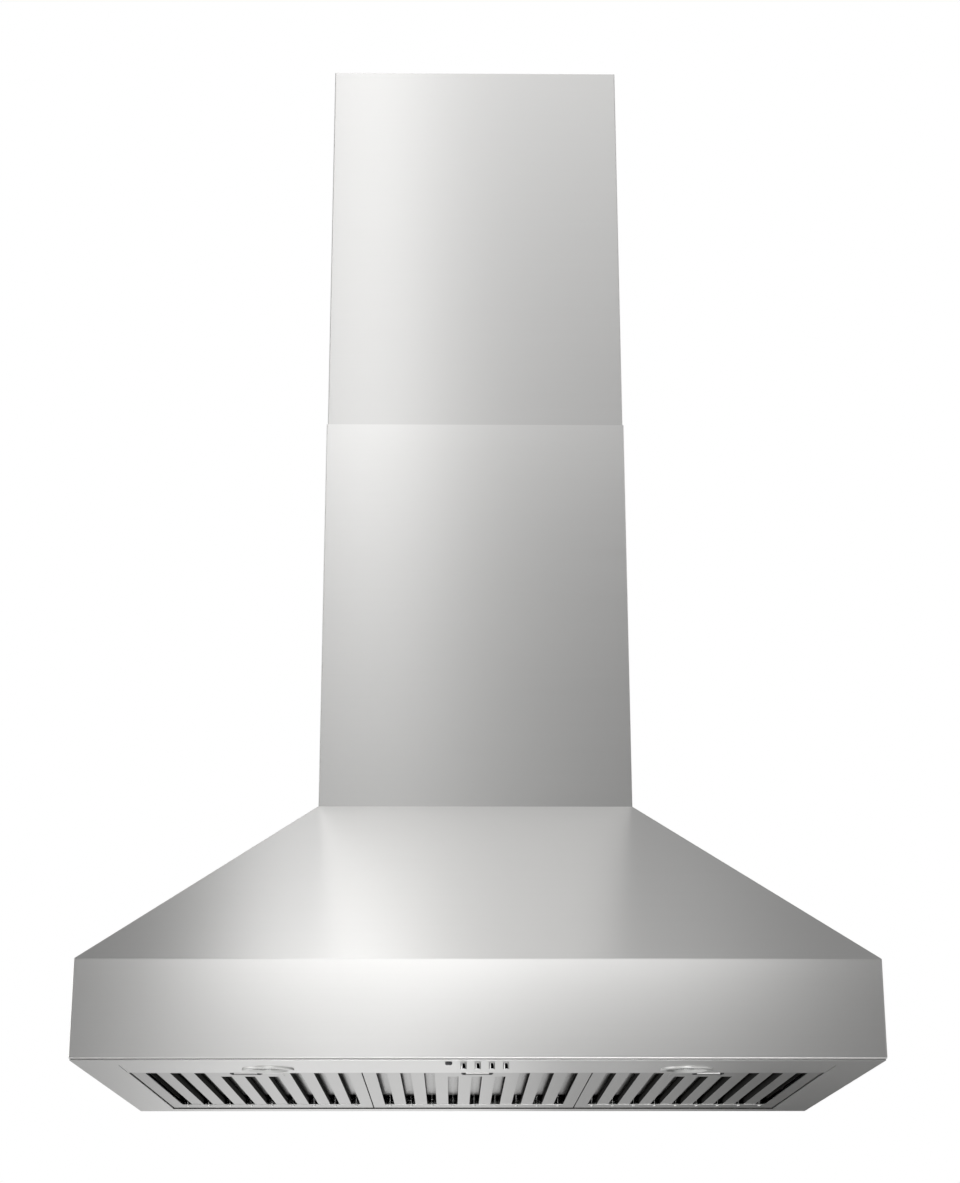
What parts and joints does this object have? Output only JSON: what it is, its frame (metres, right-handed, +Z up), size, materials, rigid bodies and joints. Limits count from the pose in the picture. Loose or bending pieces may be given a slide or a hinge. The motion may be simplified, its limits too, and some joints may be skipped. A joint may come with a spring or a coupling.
{
  "type": "range hood",
  "caption": "Wall-mounted chimney range hood: a pyramid canopy with baffle filters, lamps and push buttons under telescoping duct covers.",
  "frame": {"origin": "on the wall plane, at the middle of the canopy's width and the level of the underside", "axes": "+Z up, +Y into the wall, +X to the right as one faces the hood"},
  "size_m": [0.9144, 0.6096, 1.4469],
  "materials": {
    "brushed_stainless": "brushed along x",
    "galvanised_steel": "matt zinc coat",
    "bright_steel": "bright zinc",
    "chrome": "polished",
    "dark_nickel": "dark nickel plate",
    "spring_steel": "satin",
    "black_plastic": "moulded",
    "white_plastic": "moulded",
    "indicator_plastic": "glossy",
    "motor_paint": "satin black",
    "lamp_aluminium": "cast",
    "damper_aluminium": "mill",
    "lamp_glass": "frosted"
  },
  "bodies": {
    "canopy": {"canopy_shell": "brushed_stainless", "canopy_back_panel": "galvanised_steel", "underside_pan": "brushed_stainless", "rear_ledge": "brushed_stainless", "lower_duct_cover": "brushed_stainless", "canopy_screws": "bright_steel", "lamp_clips": "spring_steel", "switch_housing": "black_plastic", "indicator_light": "indicator_plastic", "blower_plate": "galvanised_steel", "blower_wrapper": "galvanised_steel", "blower_side_plates": "galvanised_steel", "inlet_rings": "galvanised_steel", "blower_motor": "motor_paint", "motor_bracket": "galvanised_steel", "duct_collar": "galvanised_steel", "damper_pins": "bright_steel", "junction_box": "galvanised_steel", "junction_lid": "galvanised_steel", "cable_gland": "black_plastic", "terminal_block": "white_plastic", "motor_capacitor": "damper_aluminium", "lamp_driver": "white_plastic", "lamp_left_bezel": "chrome", "lamp_left_lens": "lamp_glass", "lamp_left_body": "lamp_aluminium", "lamp_right_bezel": "chrome", "lamp_right_lens": "lamp_glass", "lamp_right_body": "lamp_aluminium"},
    "upper_cover": {"upper_duct_cover": "brushed_stainless", "ceiling_bracket": "galvanised_steel", "bracket_screws": "bright_steel"},
    "blower_wheel": {"impeller": "galvanised_steel", "motor_shaft": "bright_steel"},
    "front_flap": {"damper_flap_front": "damper_aluminium"},
    "rear_flap": {"damper_flap_rear": "damper_aluminium"},
    "filter_left": {"filter_left_frame": "brushed_stainless", "filter_left_lower_baffles": "brushed_stainless", "filter_left_upper_baffles": "brushed_stainless", "filter_left_rivets": "bright_steel"},
    "filter_left_ring": {"filter_left_handle": "dark_nickel"},
    "filter_middle": {"filter_middle_frame": "brushed_stainless", "filter_middle_lower_baffles": "brushed_stainless", "filter_middle_upper_baffles": "brushed_stainless", "filter_middle_rivets": "bright_steel"},
    "filter_middle_ring": {"filter_middle_handle": "dark_nickel"},
    "filter_right": {"filter_right_frame": "brushed_stainless", "filter_right_lower_baffles": "brushed_stainless", "filter_right_upper_baffles": "brushed_stainless", "filter_right_rivets": "bright_steel"},
    "filter_right_ring": {"filter_right_handle": "dark_nickel"},
    "button_1": {"button_1": "chrome", "button_1_spring": "spring_steel"},
    "button_2": {"button_2": "chrome", "button_2_spring": "spring_steel"},
    "button_3": {"button_3": "chrome", "button_3_spring": "spring_steel"},
    "button_4": {"button_4": "chrome", "button_4_spring": "spring_steel"}
  },
  "joints": [
    {"name": "upper_cover_slide", "type": "slide", "parent": "canopy", "child": "upper_cover", "axis": [0, 0, 1], "range_m": [-0.45, 0]},
    {"name": "wheel_spin", "type": "hinge", "parent": "canopy", "child": "blower_wheel", "pos_m": [0, -0.2119, 0.2149], "axis": [1, 0, 0], "continuous": true},
    {"name": "front_flap_hinge", "type": "hinge", "parent": "canopy", "child": "front_flap", "pos_m": [0, -0.1569, 0.3891], "axis": [-1, 0, 0], "range_deg": [0, 80]},
    {"name": "rear_flap_hinge", "type": "hinge", "parent": "canopy", "child": "rear_flap", "pos_m": [0, -0.1479, 0.3891], "axis": [1, 0, 0], "range_deg": [0, 80]},
    {"name": "filter_left_hinge", "type": "hinge", "parent": "canopy", "child": "filter_left", "pos_m": [-0.271, -0.032, 0.0015], "axis": [1, 0, 0], "range_deg": [0, 60]},
    {"name": "filter_left_ring_fold", "type": "hinge", "parent": "filter_left", "child": "filter_left_ring", "pos_m": [-0.271, -0.4776, 0.0004], "axis": [-1, 0, 0], "range_deg": [0, 90]},
    {"name": "filter_middle_hinge", "type": "hinge", "parent": "canopy", "child": "filter_middle", "pos_m": [0, -0.032, 0.0015], "axis": [1, 0, 0], "range_deg": [0, 60]},
    {"name": "filter_middle_ring_fold", "type": "hinge", "parent": "filter_middle", "child": "filter_middle_ring", "pos_m": [0, -0.4776, 0.0004], "axis": [-1, 0, 0], "range_deg": [0, 90]},
    {"name": "filter_right_hinge", "type": "hinge", "parent": "canopy", "child": "filter_right", "pos_m": [0.271, -0.032, 0.0015], "axis": [1, 0, 0], "range_deg": [0, 60]},
    {"name": "filter_right_ring_fold", "type": "hinge", "parent": "filter_right", "child": "filter_right_ring", "pos_m": [0.271, -0.4776, 0.0004], "axis": [-1, 0, 0], "range_deg": [0, 90]},
    {"name": "button_1_press", "type": "slide", "parent": "canopy", "child": "button_1", "axis": [0, 0, 1], "range_m": [0, 0.003], "stiffness_N_per_m": 400, "springref_m": -0.002, "deforming": ["button_1_spring"]},
    {"name": "button_2_press", "type": "slide", "parent": "canopy", "child": "button_2", "axis": [0, 0, 1], "range_m": [0, 0.003], "stiffness_N_per_m": 400, "springref_m": -0.002, "deforming": ["button_2_spring"]},
    {"name": "button_3_press", "type": "slide", "parent": "canopy", "child": "button_3", "axis": [0, 0, 1], "range_m": [0, 0.003], "stiffness_N_per_m": 400, "springref_m": -0.002, "deforming": ["button_3_spring"]},
    {"name": "button_4_press", "type": "slide", "parent": "canopy", "child": "button_4", "axis": [0, 0, 1], "range_m": [0, 0.003], "stiffness_N_per_m": 400, "springref_m": -0.002, "deforming": ["button_4_spring"]}
  ]
}
